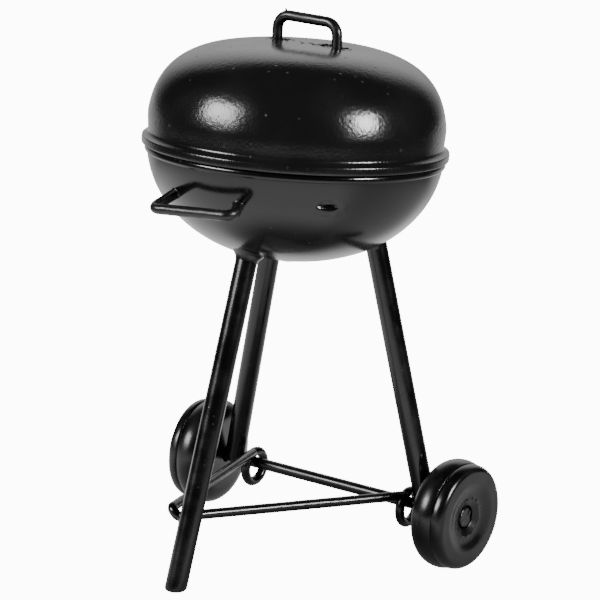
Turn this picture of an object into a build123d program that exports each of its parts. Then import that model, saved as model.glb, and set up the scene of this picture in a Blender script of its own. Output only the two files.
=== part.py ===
from build123d import *
import os
from math import asin, atan2, cos, hypot, pi, sin

# Miniature kettle grill, one twelfth of full size, all sizes in millimetres.
# +Z is up and the floor is z = 0. The kettle's axis is the Z axis, the axle lies along X
# behind it, and the single leg and the front handle are on the -Y side.

# Kettle bowl and lid: pressed sheet, each outline a superellipse turned about Z
bowl_radius = 23.74
bowl_depth = 19.4
bowl_curve = 2.16
bowl_height = 69.35          # level where the bowl's curve would stand upright
bowl_bead_low = 3.25         # how far under that level the rim bead starts
bead_height = 1.1
bead_stand = 0.4             # how far the bead stands out of the wall
lip_height = 1.3             # upstanding lip above the bead, inside the lid's skirt
lip_inset = 0.75             # from the bead's outside to the lip's outside
lid_overhang = 0.13          # how much wider the lid's curve is than the bowl's
lid_rise = 18.4
lid_curve = 3.25
lid_base_drop = 1.25         # from the bead's top down to where the lid's curve would stand upright
lid_blend_rise = 5.2         # from the bead's top up to where the curve runs into the neck
neck_rise = 3.0              # from the bead's top up to the neck
neck_inset = 0.37
skirt_stand = 0.53           # how far the skirt stands out past the lid's curve
skirt_height = 1.25
lid_seat_gap = 0.2           # dark line between the skirt and the bead
sheet = 0.6

# Wire handles
wire_radius = 0.8
hole_play = 0.05
wire_tail = 0.9              # length of each wire end inside the shell
lid_handle_spread = 11.46
lid_handle_rise = 3.95       # from the crown to the middle of the bar
lid_handle_shift = 0.85      # the handle sits this far off the crown's centre
lid_handle_bend = 2.1
lid_handle_droop = 0.3       # the bar's right end is this much lower
lid_handle_lean = 0.35       # its right leg leans in this much at the top
slit_length = 2.9            # the lid's punched slits, along X
lid_solder_radius = 1.9
handle_foot_left = -7.6
handle_foot_right = 4.7
handle_foot_drop = 8.05      # below the level where the bowl's curve would stand upright
handle_bar_left = -7.7
handle_bar_right = 8.0
handle_reach = 4.3           # from the bowl's wall to the middle of the bar
handle_droop_left = 1.7
handle_droop_right = 0.5
handle_bend = 1.3
solder_stand = 0.55          # how far a handle's solder ring stands out round the wire
solder_height = 0.5

# Legs, axle and wheels
leg_radius = 1.7
front_leg_top = 11.2         # from the kettle's axis, where the leg meets the bowl
front_leg_foot = 25.14
rear_leg_top_x = 9.85
rear_leg_top_y = 10.0
rear_leg_foot_x = 19.3
leg_solder_stand = 1.1
leg_solder_length = 2.4
foot_edge = 0.45             # rounding of the front leg's cut end
axle_radius = 1.05
axle_y = 16.12
leg_axle_gap = 0.15          # filled with solder
axle_solder_stand = 0.3
axle_solder_height = 2.2
wheel_radius = 9.1
wheel_width = 7.2
wheel_gap = 0.35             # between the leg's side and the wheel's inner face
wheel_shoulder = 2.0         # rounding at the edges of the tread
wheel_land = 1.0             # flat ring between the rounding and the dish
wheel_bore_play = 0.05
wheel_dish_slope = 1.3       # how much smaller the dish is at its floor
wheel_dish_depth = 0.9
wheel_recess_radius = 2.4
wheel_recess_depth = 1.3
tread_groove_inset = 2.8     # from the outer face to the parting line round the tread
tread_groove_depth = 0.2
tread_groove_width = 0.3
axle_head_radius = 1.75
axle_head_length = 0.8
axle_end_play = 0.1

# V-shaped brace wire, with a closed eye round the axle at each rear end
eye_radius = 2.65            # to the middle of the wire
eye_gap_left = 1.3           # between the rear leg's side and the eye, along the axle
eye_gap_right = 0.15
eye_play = 0.05
eye_entry_left = 1.35        # angle above level, in radians, where the wire joins its eye
eye_entry_right = 1.0
brace_level_left = 11.8      # height of each branch at the bend beside the front leg
brace_level_right = 10.6
brace_tip_width = 1.3
brace_gap = 0.15
brace_overrun = 0.9          # how far the right branch runs on past the leg
brace_bend = 0.85
brace_solder_radius = 1.5

# Cooking grate on three inward dimples in the bowl
dimple_drop = 6.75           # below the level where the bowl's curve would stand upright
dimple_depth = 1.0
dimple_radius = 1.6
dimple_turn = -41.8          # bearing of the first dimple, degrees from +X
dimple_count = 3
grate_rim_wire = 0.5
grate_edge_play = 0.35
grate_seat_play = 0.05
grate_bar_wire = 0.35
grate_bar_pitch = 2.4
grate_bars_each_side = 7


def curve_radius(level, widest, tall, power, base):
    """Outline radius at a level of a superellipse that is widest at its base level."""
    share = min(abs(level - base) / tall, 1.0)
    return widest * (1 - share**power) ** (1 / power)


def curve_level(radius, widest, tall, power, base):
    """Outline level at a radius, for a tall that is negative where the curve hangs down."""
    return base + tall * (1 - (radius / widest) ** power) ** (1 / power)


def curve_points(widest, tall, power, base, end_level, steps):
    """Points on a superellipse from its pole to a level, evenly spread by angle."""
    end_radius = curve_radius(end_level, widest, abs(tall), power, base)
    points = []
    for step in range(steps + 1):
        angle = step / steps * atan2(end_radius / widest, (end_level - base) / tall)
        reach = (sin(angle) ** power + cos(angle) ** power) ** (-1 / power)
        points.append((widest * reach * sin(angle), base + tall * reach * cos(angle)))
    return points


def turned(edges):
    """Solid made by turning a closed outline of (radius, level) edges about Z."""
    return revolve(Plane.XZ * make_face(edges), Axis.Z)


def bowl_radius_at(level):
    return curve_radius(level, bowl_radius, bowl_depth, bowl_curve, bowl_height)


def bowl_level_at(radius):
    return curve_level(radius, bowl_radius, -bowl_depth, bowl_curve, bowl_height)


def rod(start, end, radius):
    """Round bar between two points."""
    return sweep(Plane(start, z_dir=Vector(end) - Vector(start)) * Circle(radius), Line(start, end))


def bent_wire(points, radius, bend):
    """Round wire through corner points, each corner rounded to the same bend."""
    path = FilletPolyline(*points, radius=bend)
    return sweep(Plane(path @ 0, z_dir=path % 0) * Circle(radius), path)


parts = {}

# ---------------------------------------------------------------- bowl
bead_low = bowl_height - bowl_bead_low
bead_top = bead_low + bead_height
bead_outside = bowl_radius_at(bead_low) + bead_stand
lip_outside = bead_outside - lip_inset
lip_top = bead_top + lip_height
dimple_level = bowl_height - dimple_drop
handle_foot_level = bowl_height - handle_foot_drop
bowl_outside = curve_points(bowl_radius, -bowl_depth, bowl_curve, bowl_height, bead_low, 9)
bowl_inside = curve_points(
    bowl_radius - sheet, -(bowl_depth - sheet), bowl_curve, bowl_height, bead_low, 9
)
inside_end = bowl_inside[-1]
outer_curve = Spline(*bowl_outside, tangents=[(1, 0), (0.05, 1)])
inner_curve = Spline(*bowl_inside, tangents=[(1, 0), (0.05, 1)])
bead_mid = (bead_low + bead_top) / 2
bead_curve = ThreePointArc(
    bowl_outside[-1],
    (bead_outside, bead_mid),
    (bead_outside - bead_stand, bead_top),
)
rim_edges = Polyline(
    (bead_outside - bead_stand, bead_top),
    (lip_outside, bead_top),
    (lip_outside, lip_top),
    (lip_outside - sheet, lip_top),
    (lip_outside - sheet, bead_top),
    inside_end,
)
bowl_axis_edge = Line(bowl_inside[0], bowl_outside[0])
bowl_skin = turned([outer_curve, bead_curve, rim_edges, inner_curve, bowl_axis_edge])
bowl_block = turned(
    [outer_curve, Polyline(bowl_outside[-1], (0, bead_low), bowl_outside[0])]
)
dent_centre = bowl_radius_at(dimple_level) + dimple_radius - dimple_depth
for index in range(dimple_count):
    spot = Rotation(0, 0, dimple_turn + 360 / dimple_count * index) * Pos(dent_centre, 0, dimple_level)
    bump = (spot * Sphere(dimple_radius + sheet)) & bowl_block
    bowl_skin = bowl_skin + bump - spot * Sphere(dimple_radius)

# ---------------------------------------------------------------- side handles
bar_y = -(bowl_radius_at(handle_foot_level) + handle_reach)
handle_points = [
    Vector(handle_foot_left, 0, handle_foot_level),
    Vector(handle_bar_left, bar_y, handle_foot_level - handle_droop_left),
    Vector(handle_bar_right, bar_y, handle_foot_level - handle_droop_right),
    Vector(handle_foot_right, 0, handle_foot_level),
]
foot_spots = []
for foot, corner in ((0, 1), (3, 2)):
    x_foot = handle_points[foot].X
    wall_y = -((bowl_radius_at(handle_foot_level) ** 2 - x_foot**2) ** 0.5)
    wall = Vector(x_foot, wall_y, handle_foot_level)
    foot_spots.append(wall)
    inward = (wall - handle_points[corner]).normalized()
    handle_points[foot] = wall + inward * (sheet + wire_tail)
front_handle = bent_wire(handle_points, wire_radius, handle_bend)
front_handle_holes = []
front_handle_solder = []
for wall, corner in ((foot_spots[0], 1), (foot_spots[1], 2)):
    outward = (handle_points[corner] - wall).normalized()
    half_hole = wire_radius * 3
    front_handle_holes.append(
        rod(wall - outward * half_hole, wall + outward * half_hole, wire_radius + hole_play)
    )
    collar_plane = Plane(wall - outward * wire_radius, z_dir=outward)
    collar = collar_plane * Cone(
        wire_radius + 2 * solder_stand,
        wire_radius + solder_stand / 3,
        wire_radius + solder_height + solder_stand,
        align=(Align.CENTER, Align.CENTER, Align.MIN),
    )
    bore = rod(wall - outward * half_hole, wall + outward * half_hole, wire_radius)
    front_handle_solder.append(collar - bore - bowl_block)
half_turn = Rotation(0, 0, 180)
for hole in front_handle_holes:
    bowl_skin = bowl_skin - hole - half_turn * hole
parts["bowl_shell"] = bowl_skin
parts["front_handle"] = front_handle
parts["rear_handle"] = half_turn * front_handle
for side, collar in zip(("left", "right"), front_handle_solder):
    parts[f"front_handle_solder_{side}"] = collar
    parts[f"rear_handle_solder_{side}"] = half_turn * collar

# ---------------------------------------------------------------- lid
lid_radius = bowl_radius + lid_overhang
lid_base = bead_top - lid_base_drop
lid_blend = bead_top + lid_blend_rise
neck_level = bead_top + neck_rise
lid_outside = curve_points(lid_radius, lid_rise, lid_curve, lid_base, lid_blend, 10)
lid_inside = curve_points(
    lid_radius - sheet, lid_rise - sheet, lid_curve, lid_base, lid_blend, 10
)
skirt_outside = lid_radius + skirt_stand
skirt_low = bead_top + lid_seat_gap
skirt_top = skirt_low + skirt_height
neck_outside = lid_radius - neck_inset
lid_outer_curve = Spline(
    *lid_outside, (neck_outside, neck_level), tangents=[(1, 0), (0, -1)]
)
lid_inner_curve = Spline(
    *lid_inside, (neck_outside - sheet, neck_level), tangents=[(1, 0), (0, -1)]
)
lid_flare = Spline(
    (neck_outside, neck_level), (skirt_outside, skirt_top), tangents=[(0, -1), (0.7, -0.7)]
)
lid_flare_inside = Spline(
    (neck_outside - sheet, neck_level),
    (skirt_outside - sheet, skirt_top - sheet / 2),
    tangents=[(0, -1), (0.7, -0.7)],
)
skirt_edges = Polyline(
    (skirt_outside, skirt_top),
    (skirt_outside, skirt_low),
    (skirt_outside - sheet, skirt_low),
    (skirt_outside - sheet, skirt_top - sheet / 2),
)
lid_axis_edge = Line(lid_inside[0], lid_outside[0])
lid_shell = turned(
    [lid_outer_curve, lid_flare, skirt_edges, lid_flare_inside, lid_inner_curve, lid_axis_edge]
)
lid_room = turned(
    [lid_inner_curve, Polyline((neck_outside - sheet, neck_level), (0, neck_level), lid_inside[0])]
)
crown = lid_base + lid_rise

# ---------------------------------------------------------------- lid handle
bar_level = crown + lid_handle_rise
tail_level = crown - sheet - wire_tail
leg_left_x = lid_handle_shift - lid_handle_spread / 2
leg_right_x = lid_handle_shift + lid_handle_spread / 2
lid_handle_points = [
    (leg_left_x, 0, tail_level),
    (leg_left_x, 0, bar_level),
    (leg_right_x - lid_handle_lean, 0, bar_level - lid_handle_droop),
    (leg_right_x, 0, crown),
    (leg_right_x, 0, tail_level),
]
parts["lid_handle"] = bent_wire(lid_handle_points, wire_radius, lid_handle_bend)
slit_width = 2 * (wire_radius + hole_play)
for name, x_leg in (("left", leg_left_x), ("right", leg_right_x)):
    slit_plane = Plane((x_leg, 0, tail_level))
    lid_shell = lid_shell - slit_plane * extrude(SlotOverall(slit_length, slit_width), 2 * slit_length)
    leg_bore = Pos(x_leg, 0, tail_level) * Cylinder(wire_radius, 2 * slit_length)
    lump = Pos(x_leg, 0, crown - sheet) * Sphere(lid_solder_radius)
    parts[f"lid_handle_solder_{name}"] = (lump & lid_room) - leg_bore
parts["lid_shell"] = lid_shell

# ---------------------------------------------------------------- legs
axle_level = wheel_radius
rest_level = axle_level + axle_radius + leg_axle_gap
leg_lines = {
    "front": ((0, -front_leg_top), (0, -front_leg_foot, 0)),
    "left": ((-rear_leg_top_x, rear_leg_top_y), (-rear_leg_foot_x, axle_y, rest_level)),
    "right": ((rear_leg_top_x, rear_leg_top_y), (rear_leg_foot_x, axle_y, rest_level)),
}
leg_directions = {}
for name, (top, foot) in leg_lines.items():
    top_point = Vector(top[0], top[1], bowl_level_at(hypot(*top)))
    foot_point = Vector(*foot)
    along = (top_point - foot_point).normalized()
    leg_directions[name] = along
    long_rod = rod(foot_point - along * 2 * leg_radius, top_point + along * 3 * leg_radius, leg_radius)
    floor_cut = Pos(0, 0, foot_point.Z) * Box(
        200, 200, 20 * leg_radius, align=(Align.CENTER, Align.CENTER, Align.MAX)
    )
    leg = (long_rod - bowl_block - floor_cut).solids().sort_by(Axis.Z)[0]
    if name == "front":
        leg = fillet(leg.faces().sort_by(Axis.Z)[0].edges(), foot_edge)
    parts[f"{name}_leg"] = leg
    collar = Plane(top_point - along * leg_solder_length, z_dir=along) * Cone(
        leg_radius + leg_solder_stand / 8,
        leg_radius + leg_solder_stand * 2,
        leg_solder_length + 2 * leg_radius,
        align=(Align.CENTER, Align.CENTER, Align.MIN),
    )
    collar = collar - long_rod - bowl_block
    parts[f"{name}_leg_solder"] = collar.solids().sort_by(Axis.Z)[0]

# ---------------------------------------------------------------- axle and wheels
lean = leg_directions["right"]
rear_leg_reach = hypot(rear_leg_top_x, rear_leg_top_y)
leg_side_x = rear_leg_foot_x + leg_radius / (1 - lean.X**2) ** 0.5
wheel_inner_x = leg_side_x + wheel_gap
wheel_outer_x = wheel_inner_x + wheel_width
dish_x = wheel_outer_x - wheel_dish_depth
recess_x = dish_x - wheel_recess_depth
bore_radius = axle_radius + wheel_bore_play
wheel_dish_radius = wheel_radius - wheel_shoulder - wheel_land
head_x = recess_x + axle_end_play
along_x = (Align.CENTER, Align.CENTER, Align.MIN)
axle = rod((-head_x, axle_y, axle_level), (head_x, axle_y, axle_level), axle_radius)
groove_x = wheel_outer_x - tread_groove_inset
wheel_outline = Polyline(
    (bore_radius, wheel_inner_x),
    (wheel_radius - wheel_shoulder, wheel_inner_x),
)
inner_shoulder = RadiusArc(
    (wheel_radius - wheel_shoulder, wheel_inner_x),
    (wheel_radius, wheel_inner_x + wheel_shoulder),
    -wheel_shoulder,
)
tread_edges = Polyline(
    (wheel_radius, wheel_inner_x + wheel_shoulder),
    (wheel_radius, groove_x - tread_groove_width),
    (wheel_radius - tread_groove_depth, groove_x - tread_groove_width / 2),
    (wheel_radius, groove_x),
    (wheel_radius, wheel_outer_x - wheel_shoulder),
)
outer_shoulder = RadiusArc(
    (wheel_radius, wheel_outer_x - wheel_shoulder),
    (wheel_radius - wheel_shoulder, wheel_outer_x),
    -wheel_shoulder,
)
hub_edges = Polyline(
    (wheel_radius - wheel_shoulder, wheel_outer_x),
    (wheel_dish_radius, wheel_outer_x),
    (wheel_dish_radius - wheel_dish_slope, dish_x),
    (wheel_recess_radius, dish_x),
    (wheel_recess_radius, recess_x),
    (bore_radius, recess_x),
    (bore_radius, wheel_inner_x),
)
wheel_face = make_face([wheel_outline, inner_shoulder, tread_edges, outer_shoulder, hub_edges])
wheel_on_z = revolve(Plane.XZ * wheel_face, Axis.Z)
for name, turn in (("right", 90), ("left", -90)):
    side = 1 if name == "right" else -1
    seat = Pos(0, axle_y, axle_level) * Rotation(0, turn, 0)
    parts[f"{name}_wheel"] = seat * wheel_on_z
    head = seat * Pos(0, 0, head_x) * Cone(
        axle_head_radius, axle_head_radius * 0.7, axle_head_length, align=along_x
    )
    axle = axle + head
    along = leg_directions[name]
    foot_point = Vector(side * rear_leg_foot_x, axle_y, rest_level)
    collar = Plane(foot_point - along * (axle_radius + leg_axle_gap), z_dir=along) * Cone(
        leg_radius + axle_solder_stand,
        leg_radius + axle_solder_stand / 3,
        axle_solder_height,
        align=(Align.CENTER, Align.CENTER, Align.MIN),
    )
    axle_bore = rod((0, axle_y, axle_level), (side * head_x, axle_y, axle_level), axle_radius)
    parts[f"{name}_axle_solder"] = collar - parts[f"{name}_leg"] - axle_bore
parts["axle"] = axle

# ---------------------------------------------------------------- brace
eye_level = axle_level - (eye_radius - wire_radius - axle_radius - eye_play)
eye_top = eye_level + eye_radius + wire_radius
leg_lean_x = (rear_leg_foot_x - rear_leg_top_x) / (bowl_level_at(rear_leg_reach) - rest_level)
leg_inner_x = 2 * rear_leg_foot_x - leg_side_x - (eye_top - rest_level) * leg_lean_x
eye_left_x = -(leg_inner_x - wire_radius - eye_gap_left)
eye_right_x = leg_inner_x - wire_radius - eye_gap_right


def eye_entry_point(eye_x, entry):
    """Point on an eye's middle line where its branch joins, at an angle above level."""
    rise = eye_radius * sin(entry)
    return Vector(eye_x, axle_y - eye_radius * cos(entry), eye_level + rise)


entry_left = eye_entry_point(eye_left_x, eye_entry_left)
entry_right = eye_entry_point(eye_right_x, eye_entry_right)
leg_share = brace_level_right / bowl_level_at(front_leg_top)
leg_middle_y = -front_leg_foot + (front_leg_foot - front_leg_top) * leg_share
leg_middle = Vector(0, leg_middle_y, brace_level_right)
level_entry = Vector(entry_right.X, entry_right.Y, brace_level_right)
to_leg = leg_middle - level_entry
clear = leg_radius + wire_radius + brace_gap
bearing = atan2(to_leg.Y, to_leg.X) - asin(clear / to_leg.length)
heading = Vector(cos(bearing), sin(bearing), 0)
nearest = level_entry + heading * (to_leg.length**2 - clear**2) ** 0.5
corner_right = nearest + heading * brace_overrun
corner_left = corner_right + Vector(-brace_tip_width, 0, brace_level_left - brace_level_right)
brace = bent_wire([entry_left, corner_left, corner_right, entry_right], wire_radius, brace_bend)
for eye_x in (eye_left_x, eye_right_x):
    eye_plane = Plane((eye_x, axle_y, eye_level), z_dir=(1, 0, 0))
    brace = brace + eye_plane * Torus(eye_radius, wire_radius)
parts["brace_wire"] = brace
touch = leg_middle + (nearest - leg_middle) * (leg_radius / clear)
solder_lump = Pos(touch) * Sphere(brace_solder_radius)
parts["brace_solder"] = solder_lump - parts["front_leg"] - brace

# ---------------------------------------------------------------- cooking grate
wall_inside = curve_radius(
    dimple_level + dimple_radius, bowl_radius - sheet, bowl_depth - sheet, bowl_curve, bowl_height
)
grate_radius = wall_inside - grate_edge_play - grate_rim_wire
bump_run = dent_centre - grate_radius
grate_level = (
    dimple_level
    + ((dimple_radius + sheet + grate_rim_wire + grate_seat_play) ** 2 - bump_run**2) ** 0.5
)
parts["grate_rim"] = Pos(0, 0, grate_level) * Torus(grate_radius, grate_rim_wire)
for index in range(-grate_bars_each_side, grate_bars_each_side + 1):
    offset = index * grate_bar_pitch
    half_bar = (grate_radius**2 - offset**2) ** 0.5
    bar_height = grate_level + grate_rim_wire + grate_bar_wire
    bar = rod((offset, -half_bar, bar_height), (offset, half_bar, bar_height), grate_bar_wire)
    parts[f"grate_bar_{index + grate_bars_each_side + 1:02d}"] = bar

os.makedirs("parts", exist_ok=True)
for name, shape in parts.items():
    export_step(shape, f"parts/{name}.step")
    print(f"{name}: {shape.volume:.2f} mm3, {len(shape.solids())} solid")
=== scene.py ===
from math import atan2, cos, hypot, pi, radians, sin, sqrt, tan

import bmesh
import bpy
from mathutils import Matrix, Vector, noise
from mathutils.geometry import intersect_line_line


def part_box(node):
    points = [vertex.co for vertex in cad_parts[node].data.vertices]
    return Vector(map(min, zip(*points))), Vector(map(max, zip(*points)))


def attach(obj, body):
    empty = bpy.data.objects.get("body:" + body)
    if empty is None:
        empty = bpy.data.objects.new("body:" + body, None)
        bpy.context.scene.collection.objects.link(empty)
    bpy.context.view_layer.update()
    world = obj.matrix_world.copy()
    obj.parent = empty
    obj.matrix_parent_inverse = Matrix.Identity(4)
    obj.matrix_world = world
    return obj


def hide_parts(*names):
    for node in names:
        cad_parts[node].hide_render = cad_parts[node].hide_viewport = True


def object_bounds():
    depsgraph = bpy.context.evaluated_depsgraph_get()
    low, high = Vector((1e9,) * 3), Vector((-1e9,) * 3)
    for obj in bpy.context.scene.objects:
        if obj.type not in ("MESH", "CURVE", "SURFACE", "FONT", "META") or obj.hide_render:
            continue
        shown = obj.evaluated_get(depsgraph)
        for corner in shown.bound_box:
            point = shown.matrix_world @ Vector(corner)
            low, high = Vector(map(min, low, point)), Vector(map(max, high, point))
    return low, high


# Miniature kettle grill in black stove enamel: lid, bowl, three legs, two wheels on an axle,
# a V-shaped brace wire and a loose cooking grate. Lengths are metres; mm turns millimetres into them.

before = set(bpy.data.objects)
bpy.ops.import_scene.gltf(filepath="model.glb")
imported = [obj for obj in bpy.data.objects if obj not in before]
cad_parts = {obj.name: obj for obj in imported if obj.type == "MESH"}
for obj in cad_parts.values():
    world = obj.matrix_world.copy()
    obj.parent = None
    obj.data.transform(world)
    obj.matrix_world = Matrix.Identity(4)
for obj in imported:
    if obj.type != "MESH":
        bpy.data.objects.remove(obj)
cadLow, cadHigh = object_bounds()
mm = 0.001
axisX, axisY, axisZ = 0, 1, 2


# reading the frame

def cutPoints(node, axis, at):
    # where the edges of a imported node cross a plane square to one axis
    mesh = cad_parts[node].data
    found = []
    for edge in mesh.edges:
        start, end = (mesh.vertices[index].co for index in edge.vertices)
        if (start[axis] - at) * (end[axis] - at) < 0:
            found.append(start.lerp(end, (at - start[axis]) / (end[axis] - start[axis])))
    return found


def middle(points):
    low = Vector([min(point[axis] for point in points) for axis in range(3)])
    high = Vector([max(point[axis] for point in points) for axis in range(3)])
    return (low + high) / 2


def centreLine(node, axis, levels, parting=None, isLeft=None):
    # two points on the middle line of a round bar, from two cuts across it;
    # a bent wire is cut twice, so only the points on one side of the parting count
    cuts = [cutPoints(node, axis, at) for at in levels]
    if parting is not None:
        cuts = [[point for point in cut if (point.x < parting) == isLeft] for cut in cuts]
    return [middle(cut) for cut in cuts]


def meet(lineA, lineB):
    nearA, nearB = intersect_line_line(*lineA, *lineB)
    return (nearA + nearB) / 2


def onLine(line, axis, at):
    start, end = line
    return start.lerp(end, (at - start[axis]) / (end[axis] - start[axis]))


# making meshes

def grain(point, size):
    # smooth noise between -1 and 1, its lumps about one size across
    return noise.noise(point / size)


def skin(bm, rings, closed=False):
    # faces between neighbouring rings of vertices; a ring may be a single point
    sides = max(len(ring) for ring in rings)
    for first, second in zip(rings, rings[1:] + rings[:1] if closed else rings[1:]):
        for turn in range(sides):
            after = (turn + 1) % sides
            corners = [first[turn % len(first)], first[after % len(first)]]
            corners += [second[after % len(second)], second[turn % len(second)]]
            bm.faces.new(list(dict.fromkeys(corners)))


def tube(bm, path, radiusAt, sides, lump=0.0, lumpSize=1.2 * mm, loop=False):
    rings = []
    side = None
    run = 0.0
    last = len(path) - 1
    for index, centre in enumerate(path):
        before = path[index - 1] if index or loop else centre
        after = path[(index + 1) % len(path)] if index < last or loop else centre
        along = (after - before).normalized()
        side = along.orthogonal() if side is None else side
        side = (side - along * side.dot(along)).normalized()
        other = along.cross(side)
        run += (centre - path[index - 1]).length if index else 0.0
        ring = []
        for turn in range(sides):
            angle = 2 * pi * turn / sides
            outward = side * cos(angle) + other * sin(angle)
            reach = radiusAt(run)
            reach *= 1 + lump * grain(centre + outward * reach, lumpSize)
            ring.append(bm.verts.new(centre + outward * reach))
        rings.append(ring)
    skin(bm, rings, loop)
    if not loop:
        bm.faces.new(rings[0][::-1])
        bm.faces.new(rings[-1])


def corneredPath(corners, bends, count=None, step=None):
    # a line through corner points, each inner corner rounded by its own bend
    path = [corners[0]]
    for before, corner, after, bend in zip(corners, corners[1:], corners[2:], bends):
        if not bend:
            path.append(corner)
            continue
        into = (corner - before).normalized()
        out = (after - corner).normalized()
        turn = into.angle(out)
        start = corner - into * bend * tan(turn / 2)
        centre = corner + (out - into).normalized() * bend / cos(turn / 2)
        axis = into.cross(out).normalized()
        parts = count or max(4, int(turn * bend / step))
        for index in range(parts + 1):
            path.append(centre + Matrix.Rotation(turn * index / parts, 3, axis) @ (start - centre))
    return path + [corners[-1]]


def bentPath(corners, bend, step):
    return evenPath(corneredPath(corners, [bend] * len(corners), step=step), step)


def evenPath(path, step):
    filled = [path[0]]
    for start, end in zip(path, path[1:]):
        count = max(1, int((end - start).length / step))
        filled += [start.lerp(end, (index + 1) / count) for index in range(count)]
    return filled


def endStops(length, edge, step):
    # distances along a bar that crowd together where its ends are rounded
    crowd = [edge * (1 - cos(pi / 2 * index / 6)) for index in range(7)]
    count = max(2, int((length - 2 * edge) / step))
    plain = [edge + (length - 2 * edge) * index / count for index in range(1, count)]
    return crowd + plain + [length - stop for stop in reversed(crowd)]


def straightPath(start, end, edge, step):
    length = (end - start).length
    return [start.lerp(end, stop / length) for stop in endStops(length, edge, step)]


def roundedEnds(radius, length, edge):
    # radius along a bar whose cut ends are rounded off by the edge size
    def radiusAt(run):
        near = max(0.0, edge - min(run, length - run))
        return radius - edge + sqrt(max(0.0, edge**2 - near**2))
    return radiusAt


def pathLength(path):
    return sum((end - start).length for start, end in zip(path, path[1:]))


def lathe(bm, outline, segments, place, closed=False):
    # turns an outline of (radius, level) about an axis; place puts each point in the frame
    rings = []
    for radius, level in outline:
        count = segments if radius > 1e-7 else 1
        angles = [2 * pi * turn / segments for turn in range(count)]
        rings.append([bm.verts.new(place(radius, angle, level)) for angle in angles])
    skin(bm, rings, closed)


def asOutline(points):
    return [(point.x, point.y) for point in points]


def roundedOutline(corners, bends, step):
    # a flat outline through (radius, level) corners with its own rounding at each inner corner
    return asOutline(evenPath(corneredPath([Vector((*point, 0)) for point in corners], bends, 6), step))


def rolledEdge(wall, stand, start, height, power):
    # a rolled edge that stands out from a wall between two levels
    angles = [pi * index / 12 for index in range(1, 12)]
    return [(wall + stand * sin(angle) ** power, start + height * (1 - cos(angle)) / 2) for angle in angles]


def easeCurve(start, startPull, end, endPull, count):
    # a smooth line between two outline points, leaving and arriving along the two pulls
    points = []
    for index in range(1, count + 1):
        t = index / count
        weights = (2*t**3 - 3*t**2 + 1, t**3 - 2*t**2 + t, 3*t**2 - 2*t**3, t**3 - t**2)
        parts = (start, startPull, end, endPull)
        points.append(tuple(sum(w * part[axis] for w, part in zip(weights, parts)) for axis in range(2)))
    return points


def addObject(name, data):
    added = bpy.data.objects.new(name, data)
    bpy.context.collection.objects.link(added)
    return added


def meshFrom(name, bm):
    mesh = bpy.data.meshes.new(name)
    bm.to_mesh(mesh)
    bm.free()
    return mesh


def fitPiece(piece, body, slot, *nodes):
    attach(piece, body)
    if nodes:
        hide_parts(*nodes)


def makePiece(name, bm, material, body, slot, *nodes, sharp=40):
    bmesh.ops.recalc_face_normals(bm, faces=bm.faces)
    mesh = meshFrom(name, bm)
    mesh.shade_smooth()
    mesh.set_sharp_from_angle(angle=radians(sharp))
    mesh.materials.append(material)
    fitPiece(addObject(name, mesh), body, slot, *nodes)


# finishes

def grey(value):
    return (value, value, value, 1)


def feed(tree, node, inputs):
    # gives each input, by name or number, a plain value or the output of another node
    for key, value in inputs.items():
        if isinstance(value, bpy.types.NodeSocket):
            tree.links.new(value, node.inputs[key])
        else:
            node.inputs[key].default_value = value


def addNode(tree, kind, inputs=None, **settings):
    node = tree.nodes.new(kind)
    for key, value in settings.items():
        setattr(node, key, value)
    feed(tree, node, inputs or {})
    return node


def remap(tree, source, low, high, toLow, toHigh, smooth=True):
    inputs = {0: source, 1: low, 2: high, 3: toLow, 4: toHigh}
    kind = "SMOOTHSTEP" if smooth else "LINEAR"
    return addNode(tree, "ShaderNodeMapRange", inputs, interpolation_type=kind).outputs[0]


def combine(tree, operation, *values):
    return addNode(tree, "ShaderNodeMath", dict(enumerate(values)), operation=operation).outputs[0]


def vector(tree, *values):
    return addNode(tree, "ShaderNodeCombineXYZ", dict(enumerate(values))).outputs[0]


def noiseOver(tree, place, size, detail):
    inputs = {"Vector": place, "Scale": size, "Detail": detail}
    return addNode(tree, "ShaderNodeTexNoise", inputs).outputs[0]


def vectorMath(tree, operation, *values):
    node = addNode(tree, "ShaderNodeVectorMath", dict(enumerate(values)), operation=operation)
    return next(socket for socket in node.outputs if socket.enabled)


def newMaterial(name):
    material = bpy.data.materials.new(name)
    material.use_nodes = True
    tree = material.node_tree
    return material, tree, tree.nodes["Principled BSDF"]


coatSpread = {
    "speckEdge": (0.05, 0.22),  # how far out a speck fades, in shares of its cell
    "pitOrNib": (0.45, 0.55),  # specks below this share of chance are pits, above it nibs
    "dustFade": (0.35, 0.75),  # pooling between which the dust colour comes in
    "dustMost": 0.35,
    "speckTint": 0.8,
    "speckRoughness": 0.25,
    "poolFade": (0.3, 0.7),
}


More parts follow.
